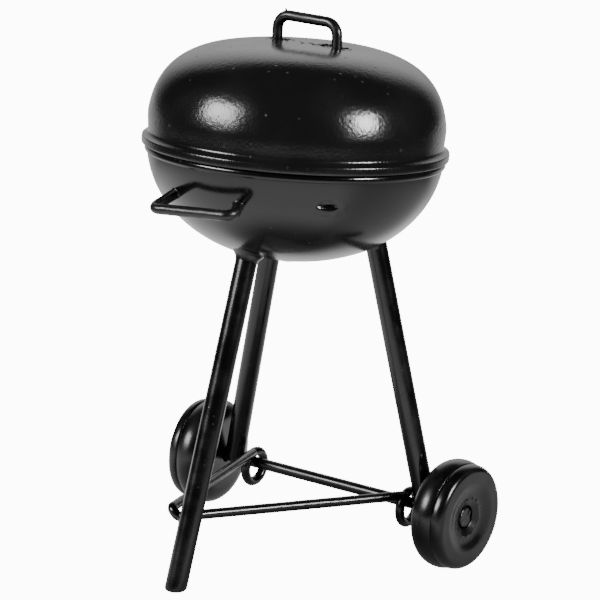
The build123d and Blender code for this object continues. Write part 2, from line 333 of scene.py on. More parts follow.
def buildEnamelGroup():
    # brushed-on enamel: slow pooling, fine orange peel, dust specks and pinholes
    group = bpy.data.node_groups.new("enamelCoat", "ShaderNodeTree")
    number, colour = "NodeSocketFloat", "NodeSocketColor"
    for name, kind, value in (
        ("Colour", colour, grey(0.01)), ("Dust Colour", colour, grey(0.06)),
        ("Smooth Roughness", number, 0.12), ("Rough Roughness", number, 0.3),
        ("Pool Size", number, 150.0), ("Peel Size", number, 1400.0), ("Peel Depth", number, 0.3),
        ("Speck Size", number, 900.0), ("Speck Share", number, 0.1),
    ):
        group.interface.new_socket(name, in_out="INPUT", socket_type=kind).default_value = value
    for name, kind in (("Colour", colour), ("Roughness", number), ("Height", number)):
        group.interface.new_socket(name, in_out="OUTPUT", socket_type=kind)
    given = addNode(group, "NodeGroupInput").outputs
    place = addNode(group, "ShaderNodeTexCoord").outputs["Object"]

    pool = noiseOver(group, place, given["Pool Size"], 3.0)
    peel = noiseOver(group, place, given["Peel Size"], 4.0)
    specks = addNode(group, "ShaderNodeTexVoronoi", {"Vector": place, "Scale": given["Speck Size"]}).outputs
    chance = addNode(group, "ShaderNodeSeparateColor", {0: specks["Color"]}).outputs
    isSpeck = combine(group, "LESS_THAN", chance[0], given["Speck Share"])
    dot = remap(group, specks["Distance"], *coatSpread["speckEdge"], 1.0, 0.0)
    speck = combine(group, "MULTIPLY", dot, isSpeck)
    raised = remap(group, chance[1], *coatSpread["pitOrNib"], -1.0, 1.0)

    patchy = remap(group, pool, *coatSpread["dustFade"], 0.0, coatSpread["dustMost"])
    tint = combine(group, "MULTIPLY", speck, coatSpread["speckTint"])
    dusty = addNode(group, "ShaderNodeMix", data_type="RGBA")
    sources = (combine(group, "MAXIMUM", tint, patchy), given["Colour"], given["Dust Colour"])
    for source, socket in zip(sources, (socket for socket in dusty.inputs if socket.enabled)):
        group.links.new(source, socket)

    span = combine(group, "SUBTRACT", given["Rough Roughness"], given["Smooth Roughness"])
    uneven = combine(group, "MULTIPLY", span, remap(group, pool, *coatSpread["poolFade"], 0.0, 1.0))
    rough = combine(group, "ADD", given["Smooth Roughness"], uneven)
    rougher = combine(group, "MULTIPLY", speck, coatSpread["speckRoughness"])
    ripple = combine(group, "MULTIPLY", peel, given["Peel Depth"])
    addNode(group, "NodeGroupOutput", {
        "Colour": next(socket for socket in dusty.outputs if socket.enabled),
        "Roughness": combine(group, "ADD", rough, rougher),
        "Height": combine(group, "ADD", ripple, combine(group, "MULTIPLY", speck, raised)),
    })
    return group


enamelCoat = buildEnamelGroup()


def bumped(tree, height, depth):
    inputs = {"Strength": 1.0, "Distance": depth, "Height": height}
    return addNode(tree, "ShaderNodeBump", inputs).outputs["Normal"]


def enamel(name, values, bumpDepth=0.015 * mm):
    material, tree, shader = newMaterial(name)
    coat = addNode(tree, "ShaderNodeGroup", values, node_tree=enamelCoat).outputs
    feed(tree, shader, {
        "IOR": 1.5, "Base Color": coat["Colour"], "Roughness": coat["Roughness"],
        "Normal": bumped(tree, coat["Height"], bumpDepth),
    })
    return material


lidEnamel = enamel("lidEnamel", {
    "Colour": grey(0.006), "Dust Colour": grey(0.012),
    "Smooth Roughness": 0.17, "Rough Roughness": 0.23, "Pool Size": 130.0,
    "Peel Size": 1900.0, "Peel Depth": 1.0, "Speck Size": 700.0, "Speck Share": 0.14,
}, 0.035 * mm)
bowlEnamel = enamel("bowlEnamel", {
    "Colour": grey(0.003), "Dust Colour": grey(0.008),
    "Smooth Roughness": 0.13, "Rough Roughness": 0.22, "Pool Size": 110.0,
    "Peel Size": 1500.0, "Peel Depth": 0.5, "Speck Size": 800.0, "Speck Share": 0.06,
})
frameEnamel = enamel("frameEnamel", {
    "Colour": grey(0.002), "Dust Colour": grey(0.006),
    "Smooth Roughness": 0.16, "Rough Roughness": 0.27, "Pool Size": 260.0,
    "Peel Size": 1500.0, "Peel Depth": 0.5, "Speck Size": 950.0, "Speck Share": 0.12,
})
wireEnamel = enamel("wireEnamel", {
    "Colour": grey(0.003), "Dust Colour": grey(0.008),
    "Smooth Roughness": 0.27, "Rough Roughness": 0.42, "Pool Size": 300.0,
    "Peel Size": 1200.0, "Peel Depth": 1.0, "Speck Size": 950.0, "Speck Share": 0.12,
})
wheelEnamel = enamel("wheelEnamel", {
    "Colour": grey(0.002), "Dust Colour": grey(0.006),
    "Smooth Roughness": 0.2, "Rough Roughness": 0.33, "Pool Size": 240.0,
    "Peel Size": 1300.0, "Peel Depth": 0.6, "Speck Size": 900.0, "Speck Share": 0.12,
})


steel = {
    "stainSize": 380.0, "drawnSize": 2600.0, "grooveDepth": 0.006 * mm,
    "dark": (0.16, 0.155, 0.15, 1), "light": (0.42, 0.415, 0.41, 1), "fade": (0.35, 0.65),
    "dullRoughness": 0.45, "brightRoughness": 0.28,
}


def grateSteelFinish():
    # drawn steel rod with a dull patchy surface and a fine grain
    material, tree, shader = newMaterial("grateSteel")
    place = addNode(tree, "ShaderNodeTexCoord").outputs["Object"]
    stains = noiseOver(tree, place, steel["stainSize"], 4.0)
    drawn = noiseOver(tree, place, steel["drawnSize"], 2.0)
    tint = addNode(tree, "ShaderNodeValToRGB", {0: stains})
    for stop, tone, at in zip(tint.color_ramp.elements, (steel["dark"], steel["light"]), steel["fade"]):
        stop.color = tone
        stop.position = at
    rough = remap(tree, stains, 0.3, 0.7, steel["dullRoughness"], steel["brightRoughness"])
    feed(tree, shader, {
        "Metallic": 1.0, "Base Color": tint.outputs[0], "Roughness": rough,
        "Normal": bumped(tree, drawn, steel["grooveDepth"]),
    })
    return material


grateSteel = grateSteelFinish()
print("finishes ready")


# lid

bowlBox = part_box("bowl_shell")
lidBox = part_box("lid_shell")
crown = lidBox[1].z
skirtLow = lidBox[0].z
skirtOutside = lidBox[1].x
beadTop = skirtLow - 0.2 * mm  # the dark gap that the lid rests on
lidShape = {
    "radius": skirtOutside - 0.53 * mm, "power": 3.25, "base": beadTop - 1.25 * mm,
    "blend": beadTop + 5.2 * mm,  # where the curve runs into the neck
    "neck": beadTop + 2.3 * mm, "neckInset": 0.37 * mm, "skirtHeight": 1.25 * mm,
    "skirtBulge": 0.04 * mm, "crease": 0.12 * mm, "sheet": 0.6 * mm, "unevenness": 0.028 * mm,
    "segments": 256,
}
lidShape["rise"] = crown - lidShape["base"]


def domeLevel(shape, radius, thinner):
    wide = shape["radius"] - thinner
    tall = shape["rise"] - thinner
    share = min(radius / wide, 1.0)
    return shape["base"] + tall * (1 - share ** shape["power"]) ** (1 / shape["power"])


def domeRadius(shape, level):
    share = min(abs(level - shape["base"]) / abs(shape["rise"]), 1.0)
    return shape["radius"] * (1 - share ** shape["power"]) ** (1 / shape["power"])


def domeOutline(shape, endLevel, thinner, fineRadius, fineStep, step):
    # from the pole outwards: close rings near the pole, then rings a step apart down the wall
    points = [(0.0, domeLevel(shape, 0.0, thinner))]
    radius = fineStep
    while radius < fineRadius:
        points.append((radius, domeLevel(shape, radius, thinner)))
        radius += fineStep
    angle = atan2(radius / shape["radius"], 1.0)
    wide = shape["radius"] - thinner
    tall = shape["rise"] - thinner * (1 if shape["rise"] > 0 else -1)
    power = shape["power"]
    while True:
        angle += step / shape["radius"]
        reach = (sin(angle) ** power + cos(angle) ** power) ** (-1 / power)
        point = (wide * reach * sin(angle), shape["base"] + tall * reach * cos(angle))
        if (point[1] - endLevel) * tall <= 0:
            return points
        if point[0] > points[-1][0]:
            points.append(point)


def lidOutline(shape):
    outer = domeOutline(shape, shape["blend"], 0.0, 9 * mm, 0.14 * mm, 0.55 * mm)
    neck = shape["radius"] - shape["neckInset"]
    skirtTop = skirtLow + shape["skirtHeight"]
    edge = skirtOutside
    outer += easeCurve(outer[-1], (0.35 * mm, -2.6 * mm), (neck, shape["neck"]), (0.05 * mm, -2.2 * mm), 10)
    creased = (edge - shape["crease"], skirtTop)
    outer += easeCurve((neck, shape["neck"]), (0.05 * mm, -1.1 * mm), creased, (1.1 * mm, -0.5 * mm), 9)
    stand = shape["crease"] + shape["skirtBulge"]
    outer += rolledEdge(edge - shape["crease"], stand, skirtTop, -shape["skirtHeight"], 0.6)
    sheet = shape["sheet"]
    inner = domeOutline(shape, shape["blend"], sheet, 9 * mm, 0.9 * mm, 1.1 * mm)
    inside = edge - sheet
    turnUp = [(edge - 0.3 * mm, skirtLow), (inside, skirtLow + 0.06 * mm), (inside, skirtTop - sheet / 2)]
    return outer + turnUp + [(neck - sheet, shape["neck"])] + inner[::-1]


handleCut = crown + 1.2 * mm
lidHandleMiddle = middle(cutPoints("lid_handle", axisZ, handleCut)).x
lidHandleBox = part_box("lid_handle")
wireRadius = (lidHandleBox[1].y - lidHandleBox[0].y) / 2
lidHandleFeet = [
    centreLine("lid_handle", axisZ, (crown - 0.5 * mm, handleCut), lidHandleMiddle, isLeft)
    for isLeft in (True, False)
]
leftFootX, rightFootX = (foot[0].x for foot in lidHandleFeet)

# each punched slit runs inwards from its wire; its floor is the solder that was run in from below
slits = (
    {"x": leftFootX + 0.5 * mm, "half": 1.75 * mm, "width": 1.0 * mm, "depth": 0.9 * mm, "seed": 3.0},
    {"x": rightFootX - 0.8 * mm, "half": 2.5 * mm, "width": 1.15 * mm, "depth": 1.1 * mm, "seed": 11.0},
)
slitEdge = {
    "ragged": 0.22, "raggedSize": 0.45 * mm,
    "floor": 0.68, "wallTop": 0.98,  # the slit's walls rise between these shares of its outline
    "burr": 0.2 * mm, "burrFrom": 0.86, "burrWidth": 0.54, "burrSize": 0.5 * mm,
}
crownZone = {"drop": 0.58 * mm, "radius": 8.8 * mm}  # slits and pits lie inside it
# x and y from the middle of the handle, size and depth, in millimetres
crownPits = (
    (-0.35, -0.55, 0.42, 0.22), (0.55, 0.35, 0.5, 0.2), (0.2, -1.5, 0.34, 0.18),
    (-1.6, 0.6, 0.3, 0.15), (1.9, -0.9, 0.28, 0.15),
)


def slitDip(slit, x, y):
    spot = Vector((x, y, 0))
    seed = slit["seed"] * mm
    ragged = 1 + slitEdge["ragged"] * grain(spot + Vector((seed, 0, 0)), slitEdge["raggedSize"])
    along = abs(x - slit["x"]) / (slit["half"] * ragged)
    across = abs(y) / (slit["width"] * ragged)
    away = (along**3 + across**3) ** (1 / 3)
    height = 0.0
    if away < slitEdge["wallTop"]:
        height = -slit["depth"] * (1 - min(1.0, max(0.0, (away - slitEdge["floor"]) / 0.3)) ** 1.5)
    if slitEdge["burrFrom"] < away < slitEdge["burrFrom"] + slitEdge["burrWidth"]:
        lift = slitEdge["burr"] * sin(pi * (away - slitEdge["burrFrom"]) / slitEdge["burrWidth"])
        height += lift * max(0.0, 0.45 + grain(spot + Vector((0, seed, 0)), slitEdge["burrSize"]))
    return height


def lidPlace(radius, angle, level):
    x, y = radius * cos(angle), radius * sin(angle)
    spot = Vector((x, y, level))
    swell = lidShape["unevenness"] * grain(spot, 7 * mm)
    wide = lidShape["radius"]
    outwards = Vector((x / wide**2, y / wide**2, 0.4 / wide)).normalized()
    if level > crown - crownZone["drop"] and hypot(x, y) < crownZone["radius"]:
        dip = sum(slitDip(slit, x, y) for slit in slits)
        for pitX, pitY, size, depth in crownPits:
            away = hypot(x - lidHandleMiddle - pitX * mm, y - pitY * mm) / (size * mm)
            dip -= depth * mm * max(0.0, 1 - away**2)
        spot.z += dip
    return spot + outwards * swell


bm = bmesh.new()
lathe(bm, lidOutline(lidShape), lidShape["segments"], lidPlace)
makePiece("lidShell", bm, lidEnamel, "lid", "lid_paint", "lid_shell", sharp=60)


# lid handle

coatThickness = 0.04 * mm  # paint on the wires
lidHandle = {
    "bend": 2.1 * mm, "sides": 40, "lump": 0.03, "tail": 1.4 * mm,
    # blobs of paint: share along the bar, height over the wire and size in millimetres
    "nibs": ((0.12, 0.05, 0.22), (0.45, -0.05, 0.16), (0.7, -0.08, 0.2)),
}


def wireFrom(bm, corners, values, radius, edge=0.25 * mm):
    path = bentPath(corners, values["bend"], 0.25 * mm)
    tube(bm, path, roundedEnds(radius, pathLength(path), edge), values["sides"], values["lump"])


barLine = [middle(cutPoints("lid_handle", axisX, lidHandleMiddle + side * mm)) for side in (-1.5, 1.5)]
lidHandleEnds = [onLine(foot, axisZ, crown - lidHandle["tail"]) for foot in lidHandleFeet]
lidHandleTop = [meet(foot, barLine) for foot in lidHandleFeet]
lidHandleCorners = [lidHandleEnds[0], *lidHandleTop, lidHandleEnds[1]]
bm = bmesh.new()
wireFrom(bm, lidHandleCorners, lidHandle, wireRadius + coatThickness)
for along, high, size in lidHandle["nibs"]:
    nib = lidHandleTop[0].lerp(lidHandleTop[1], along) + Vector((0, 0, wireRadius + high * mm))
    bead = bmesh.ops.create_icosphere(bm, subdivisions=3, radius=size * mm, matrix=Matrix.Translation(nib))
    for vert in bead["verts"]:
        vert.co += (vert.co - nib) * 0.3 * grain(vert.co, 0.2 * mm)
makePiece("lidHandleWire", bm, wireEnamel, "lid", "lid_paint", "lid_handle")
print("lid and its handle made")


# bowl

bowlShape = {
    "radius": lidShape["radius"] - 0.13 * mm, "power": 2.16,
    "beadDrop": 3.25 * mm,  # the bead starts this far under the widest level
    "beadHeight": 1.1 * mm, "beadStand": 0.4 * mm, "lipInset": 0.75 * mm, "sheet": 0.6 * mm,
    "unevenness": 0.05 * mm, "segments": 384,
}
bowlShape["base"] = beadTop - bowlShape["beadHeight"] + bowlShape["beadDrop"]
bowlShape["rise"] = bowlBox[0].z - bowlShape["base"]
dents = {
    "firstBearing": -41.8, "count": 3, "drop": 6.75 * mm, "depth": 0.26 * mm,
    "halfWidth": 2.0 * mm, "halfHeight": 1.1 * mm, "ragged": 0.28, "within": 3 * mm,
    "slitDepth": 0.7 * mm, "slitHalf": 0.3 * mm, "slitDrop": 0.3 * mm,  # a ragged slit low in the dent
    "burr": 0.1 * mm, "burrWidth": 0.7,
}


def bowlOutline(shape):
    beadLow = beadTop - shape["beadHeight"]
    outer = domeOutline(shape, beadLow, 0.0, 2 * mm, 0.5 * mm, 0.28 * mm)
    wall = domeRadius(shape, beadLow)
    outer.append((wall, beadLow))
    outer += rolledEdge(wall, shape["beadStand"], beadLow, shape["beadHeight"], 0.7)
    lipOutside = wall + shape["beadStand"] - shape["lipInset"]
    lipTop = bowlBox[1].z
    sheet = shape["sheet"]
    lipInside = lipOutside - sheet
    lip = roundedOutline(
        [(wall, beadTop), (lipOutside, beadTop), (lipOutside, lipTop), (lipInside, lipTop),
         (lipInside, beadLow)],
        [0.08 * mm, 0.2 * mm, 0.2 * mm], 0.4 * mm,
    )
    inner = domeOutline(shape, beadLow - 0.5 * mm, sheet, 2 * mm, 0.7 * mm, 0.6 * mm)
    return outer + lip + inner[::-1]


def bowlPlace(radius, angle, level):
    x, y = radius * cos(angle), radius * sin(angle)
    spot = Vector((x, y, level))
    swell = bowlShape["unevenness"] * grain(spot, 8 * mm)
    outwards = Vector((x, y, level - bowlShape["base"] + 3 * mm)).normalized()
    inset = 0.0
    for index in range(dents["count"]):
        bearing = radians(dents["firstBearing"]) + 2 * pi * index / dents["count"]
        sideways = ((angle - bearing + pi) % (2 * pi) - pi) * radius
        upwards = level - (bowlShape["base"] - dents["drop"])
        if max(abs(sideways), abs(upwards)) > dents["within"]:
            continue
        ragged = 1 + dents["ragged"] * grain(spot + Vector((0, 0, index * 9 * mm)), 0.55 * mm)
        away = hypot(sideways / (dents["halfWidth"] * ragged), upwards / (dents["halfHeight"] * ragged))
        if away < 1:
            slit = max(0.0, 1 - abs(upwards + dents["slitDrop"]) / (dents["slitHalf"] * ragged))
            inset += dents["depth"] * (1 - away**2) + dents["slitDepth"] * slit * (1 - away)
        elif away < 1 + dents["burrWidth"] and upwards < 0:
            lift = dents["burr"] * sin(pi * (away - 1) / dents["burrWidth"])
            inset -= lift * max(0.0, 0.5 + grain(spot, 0.5 * mm))
    return spot + outwards * (swell - inset)


bm = bmesh.new()
lathe(bm, bowlOutline(bowlShape), bowlShape["segments"], bowlPlace)
makePiece("bowlShell", bm, bowlEnamel, "stand", "bowl_paint", "bowl_shell", sharp=60)


def bowlHit(start, direction, reach):
    # first point of the bowl's outside met from a start outside it
    def outside(point):
        away = hypot(point.x, point.y) / bowlShape["radius"]
        under = max(0.0, (bowlShape["base"] - point.z)) / abs(bowlShape["rise"])
        return away ** bowlShape["power"] + under ** bowlShape["power"] - 1
    low = 0.0
    for index in range(1, 61):
        high = reach * index / 60
        if outside(start + direction * high) < 0:
            break
        low = high
    for _ in range(24):
        half = (low + high) / 2
        if outside(start + direction * half) > 0:
            low = half
        else:
            high = half
    return start + direction * high


def solderFlare(bm, foot, inward, tubeRadius, flare, length, seed, sides=56, steps=14):
    # a trumpet of solder from a bar to the bowl's wall round the point where they meet
    side = inward.orthogonal().normalized()
    other = inward.cross(side)
    rings = [[] for _ in range(steps + 1)]
    for turn in range(sides):
        angle = 2 * pi * turn / sides
        outward = side * cos(angle) + other * sin(angle)
        drift = Vector((cos(angle), sin(angle), seed))
        wide = flare * (1 + 0.22 * noise.noise(drift * 1.3))
        tall = length * (1 + 0.2 * noise.noise(drift * 1.1 + Vector((5, 0, 0))))
        start = foot - inward * 3 * tall + outward * (tubeRadius + wide)
        onWall = bowlHit(start, inward, 8 * tall) + inward * 0.05 * mm
        nearWall = bowlHit(foot - inward * 3 * tall + outward * tubeRadius, inward, 8 * tall)
        onBar = nearWall - inward * tall - outward * 0.04 * mm
        for index in range(steps + 1):
            t = index / steps
            point = onBar * (1 - t) ** 2 + nearWall * 2 * t * (1 - t) + onWall * t**2
            point += outward * 0.05 * mm * grain(point + Vector((seed * mm, 0, 0)), 0.9 * mm) * sin(pi * t)
            rings[index].append(bm.verts.new(point))
    inner = [bm.verts.new(vert.co + inward * 0.35 * mm) for vert in rings[-1]]
    core = [bm.verts.new(vert.co.lerp(foot, 0.2) + inward * 0.3 * mm) for vert in rings[0]]
    skin(bm, rings + [inner, core], closed=True)


# side handles

sideHandle = {
    "bend": 1.3 * mm, "sides": 40, "lump": 0.035, "tail": 1.3 * mm,
    "flare": 0.3 * mm, "flareLength": 0.5 * mm, "armCuts": (2.6 * mm, 3.6 * mm), "barCuts": (-2 * mm, 2 * mm),
}


def makeSideHandle(name, node, solders):
    low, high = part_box(node)
    facing = -1 if low.y < -abs(high.y) else 1
    edgeY = low.y if facing < 0 else high.y
    bar = [
        middle([point for point in cutPoints(node, axisX, at) if abs(point.y - edgeY) < 3 * mm])
        for at in sideHandle["barCuts"]
    ]
    corners = []
    feet = []
    for isLeft in (True, False):
        levels = [edgeY - facing * cut for cut in sideHandle["armCuts"]]
        arm = centreLine(node, axisY, levels, (low.x + high.x) / 2, isLeft)
        inward = (arm[1] - arm[0]).normalized()
        corners.append(meet(arm, bar))
        feet.append((bowlHit(arm[0] - inward * mm, inward, 12 * mm), inward))
    bm = bmesh.new()
    ends = [wall + inward * sideHandle["tail"] for wall, inward in feet]
    route = [ends[0], corners[0], corners[1], ends[1]]
    wireFrom(bm, route, sideHandle, wireRadius + coatThickness)
    for seed, (wall, inward) in enumerate(feet, 2 + facing):
        solderFlare(bm, wall, inward, wireRadius, sideHandle["flare"], sideHandle["flareLength"], seed)
    makePiece(name, bm, wireEnamel, "stand", "bowl_paint", node, *solders)


for end in ("front", "rear"):
    solders = [f"{end}_handle_solder_{side}" for side in ("left", "right")]
    makeSideHandle(f"{end}HandleWire", f"{end}_handle", solders)
print("bowl and side handles made")


# legs

legs = {
    "radius": (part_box("front_leg")[1].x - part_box("front_leg")[0].x) / 2 + coatThickness,
    "footEdge": 0.5 * mm, "lump": 0.008, "lumpSize": 2.5 * mm,
    "flare": {"front": 1.2 * mm, "left": 0.5 * mm, "right": 0.5 * mm},
    "flareLength": {"front": 2.0 * mm, "left": 1.6 * mm, "right": 1.8 * mm}, "sides": 64,
    "step": 0.7 * mm,
    "cuts": (8 * mm, 28 * mm),  # over the foot, where the leg's line is read
    "swelling": 0.3 * mm, "swellingLength": 3.4 * mm,  # solder where a foot grips the axle
}
legLines = {}
for side in ("front", "left", "right"):
    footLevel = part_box(f"{side}_leg")[0].z
    legLines[side] = centreLine(f"{side}_leg", axisZ, [footLevel + rise for rise in legs["cuts"]])


def levelLeg(bm, line, topLevel):
    # the front leg is sawn level at the floor, so all its rings lie level and its cut edge is rounded
    along = (line[1] - line[0]).normalized()
    edge = legs["footEdge"]
    angles = [pi / 2 * index / 6 for index in range(7)]
    levels = [(edge * (1 - cos(angle)), edge * (1 - sin(angle))) for angle in angles]
    count = int((topLevel - edge) / legs["step"])
    levels += [(edge + (topLevel - edge) * (index + 1) / count, 0.0) for index in range(count)]
    outline = [(0.0, 0.0)] + [(legs["radius"] - inset, level) for level, inset in levels] + [(0.0, topLevel)]

    def place(radius, angle, level):
        centre = onLine(line, axisZ, level)
        flat = Vector((cos(angle), sin(angle), 0))
        reach = radius / sqrt(1 - flat.dot(along) ** 2)
        reach *= 1 + legs["lump"] * grain(centre + flat * reach, legs["lumpSize"])
        return centre + flat * reach
    lathe(bm, outline, legs["sides"], place)


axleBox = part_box("axle")
axleMiddle = (axleBox[0] + axleBox[1]) / 2
for index, side in enumerate(("front", "left", "right")):
    line = legLines[side]
    upward = (line[1] - line[0]).normalized()
    top = bowlHit(line[1], upward, 40 * mm)
    foot = onLine(line, axisZ, axleMiddle.z + 0.2 * mm)
    bm = bmesh.new()
    if side == "front":
        levelLeg(bm, line, top.z + 1.2 * mm)
    else:
        path = straightPath(foot - upward * 0.9 * mm, top + upward * 1.5 * mm, 1.2 * mm, legs["step"])
        length = pathLength(path)
        rounded = roundedEnds(legs["radius"], length, 1.2 * mm)

        def swollen(run):
            share = max(0.0, 1 - run / legs["swellingLength"])
            return rounded(run) + legs["swelling"] * share**2 * min(1.0, run / mm)
        tube(bm, path, swollen, legs["sides"], legs["lump"], legs["lumpSize"])
    flare, flareLength = legs["flare"][side], legs["flareLength"][side]
    solderFlare(bm, top, upward, legs["radius"], flare, flareLength, 6 + index, 72, 18)
    nodes = [f"{side}_leg", f"{side}_leg_solder"]
    if side != "front":
        nodes.append(f"{side}_axle_solder")
    makePiece(f"{side}Leg", bm, frameEnamel, "stand", "frame_paint", *nodes)
print("legs made")


# axle

axle = {
    "radius": 0.95 * mm, "headRadius": 1.9 * mm, "headLength": 0.8 * mm, "headTaper": 0.85,
    "waver": 0.2 * mm, "waverSize": 0.9 * mm, "segments": 64,
}


def axlePlace(radius, angle, level):
    spot = Vector((level, axleMiddle.y + radius * cos(angle), axleMiddle.z + radius * sin(angle)))
    spot.x += axle["waver"] * grain(spot, axle["waverSize"])
    return spot


reachX = axleBox[1].x
headBack = reachX - axle["headLength"]
halfAxle = roundedOutline(
    [(axle["radius"], 0.0), (axle["radius"], headBack), (axle["headRadius"], headBack),
     (axle["headRadius"] * axle["headTaper"], reachX), (0.0, reachX)],
    [0.05 * mm, 0.2 * mm, 0.3 * mm], 0.5 * mm,
)
axleOutline = [(radius, -level) for radius, level in halfAxle[:0:-1]] + halfAxle
bm = bmesh.new()
lathe(bm, axleOutline, axle["segments"], axlePlace)
makePiece("axleRod", bm, wheelEnamel, "stand", "frame_paint", "axle")


# wheels

wheel = {
    "sideRound": 3.1 * mm,  # rounding from the tread to the inner face
    "crease": 2.0 * mm,  # from the outer face back to the crease round the tread
    "creaseDepth": 0.14 * mm, "creaseHalf": 0.1 * mm,
    "barrel": 0.42 * mm,  # how much smaller the tread is beside the crease
    "front": 0.36 * mm,  # how much smaller the part in front of the crease is
    "faceEdge": 7.5 * mm,
    "worn": 0.3 * mm,  # how far the face sits back from the nominal width
    "tilt": 4.0,  # degrees, a loose wheel leans on its axle
    "dish": 6.2 * mm, "dishFloor": 3.6 * mm, "dishDepth": 0.55 * mm,
    "recess": 3.0 * mm,  # the burred edge of the shallow recess
    "pocket": 1.95 * mm,  # the well the axle head sits in
    "pocketDepth": 1.75 * mm, "slope": 0.5 * mm, "burr": 0.06 * mm, "boreRadius": 1.45 * mm,
    "unevenness": 0.06 * mm,
    "sidePower": 2.05, "facePower": 2.4, "barrelPower": 2.2,  # squarer for larger values
    "ragged": 0.2 * mm, "raggedSize": 0.7 * mm, "raggedDepth": 0.1 * mm,  # the hand-cut edge of the recess
    "leanPoint": 1.5 * mm,  # the wheel leans about a point this far inside its outer face
    "segments": 240,
}


def quarter(start, end, power, outFirst):
    # a rounded corner between two outline points
    points = []
    for index in range(1, 19):
        angle = pi / 2 * index / 18
        shares = (sin(angle) ** (2 / power), 1 - max(0.0, cos(angle)) ** (2 / power))
        shares = shares if outFirst else shares[::-1]
        points.append(tuple(a + (b - a) * share for a, b, share in zip(start, end, shares)))
    return points


def makeWheel(name, node, facing, seed):
    low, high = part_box(node)
    inside, outside = sorted((abs(low.x), abs(high.x)))
    outside -= wheel["worn"]
    radius = (high.z - low.z) / 2
    centreY, centreZ = (low.y + high.y) / 2, (low.z + high.z) / 2
    crease = outside - wheel["crease"]
    beside = radius - wheel["barrel"]
    dishX = outside - wheel["dishDepth"]
    recessX = dishX - wheel["pocketDepth"]
    sideTop = inside + wheel["sideRound"]
    outline = [(wheel["boreRadius"], inside), (radius - wheel["sideRound"], inside)]
    outline += quarter(outline[-1], (radius, sideTop), wheel["sidePower"], True)
    treadEnd = crease - wheel["creaseHalf"]
    for index in range(1, 13):
        share = index / 12
        drop = wheel["barrel"] * share ** wheel["barrelPower"]
        outline.append((radius - drop, sideTop + (treadEnd - sideTop) * share))
    outline += [
        (beside - wheel["creaseDepth"], crease),
        (radius - wheel["front"] - 0.08 * mm, crease + wheel["creaseHalf"]),
        (radius - wheel["front"], crease + wheel["creaseHalf"] * 2.5),
    ]
    outline += quarter(outline[-1], (wheel["faceEdge"], outside), wheel["facePower"], False)
    burrOut = wheel["recess"] + 0.5 * mm
    for index in range(13):
        share = index / 12
        outline.append((wheel["dish"] + (wheel["dishFloor"] - wheel["dish"]) * share,
                        outside - wheel["dishDepth"] * (1 - cos(pi * share)) / 2))
    outline += roundedOutline(
        [(wheel["dishFloor"], dishX), (burrOut, dishX),
         (wheel["recess"] + 0.05 * mm, dishX + wheel["burr"]), (wheel["pocket"], dishX - wheel["slope"]),
         (wheel["pocket"], recessX), (wheel["boreRadius"], recessX), (wheel["boreRadius"], inside)],
        [0.15 * mm, 0.15 * mm, 0.2 * mm, 0.08 * mm, 0.1 * mm], 0.2 * mm,
    )[1:]
    outline = asOutline(evenPath([Vector((*point, 0)) for point in outline], 0.15 * mm))[:-1]

    def place(reach, angle, level):
        y, z = centreY + reach * cos(angle), centreZ + reach * sin(angle)
        spot = Vector((level + seed * 0.05, y, z))
        faceShare = min(1.0, max(0.0, (level - crease) / mm))
        shift = wheel["unevenness"] * grain(spot, 3.2 * mm) * faceShare
        if reach < burrOut + 0.4 * mm and level > dishX - 0.9 * mm:
            ragged = grain(spot, wheel["raggedSize"]) + 0.5 * grain(spot, 0.33 * mm)
            pull = max(0.0, 1 - abs(reach - wheel["recess"]) / mm)
            reach += max(-0.08 * mm, wheel["ragged"] * ragged * pull)
            shift += wheel["raggedDepth"] * ragged * pull
            y, z = centreY + reach * cos(angle), centreZ + reach * sin(angle)
        return Vector((facing * (level + shift), y, z))

    bm = bmesh.new()
    lathe(bm, outline, wheel["segments"], place, closed=True)
    hub = Vector((facing * (outside - wheel["leanPoint"]), centreY, centreZ))
    lean = Matrix.Rotation(radians(-wheel["tilt"] * facing), 3, "Z")
    bmesh.ops.rotate(bm, verts=bm.verts, cent=hub, matrix=lean)
    makePiece(name, bm, wheelEnamel, node, "wheel_paint", node, sharp=50)


makeWheel("rightWheel", "right_wheel", 1, 1.0)
makeWheel("leftWheel", "left_wheel", -1, 4.0)
print("axle and wheels made")


# brace

brace = {
    "bend": 0.85 * mm, "sides": 36, "lump": 0.03, "cuts": (-6 * mm, 4 * mm),
    "eyeCut": 2.5 * mm, "eyeReach": 6 * mm, "eyeSteps": 56, "eyeWire": 0.995, "branchReach": 40,
}


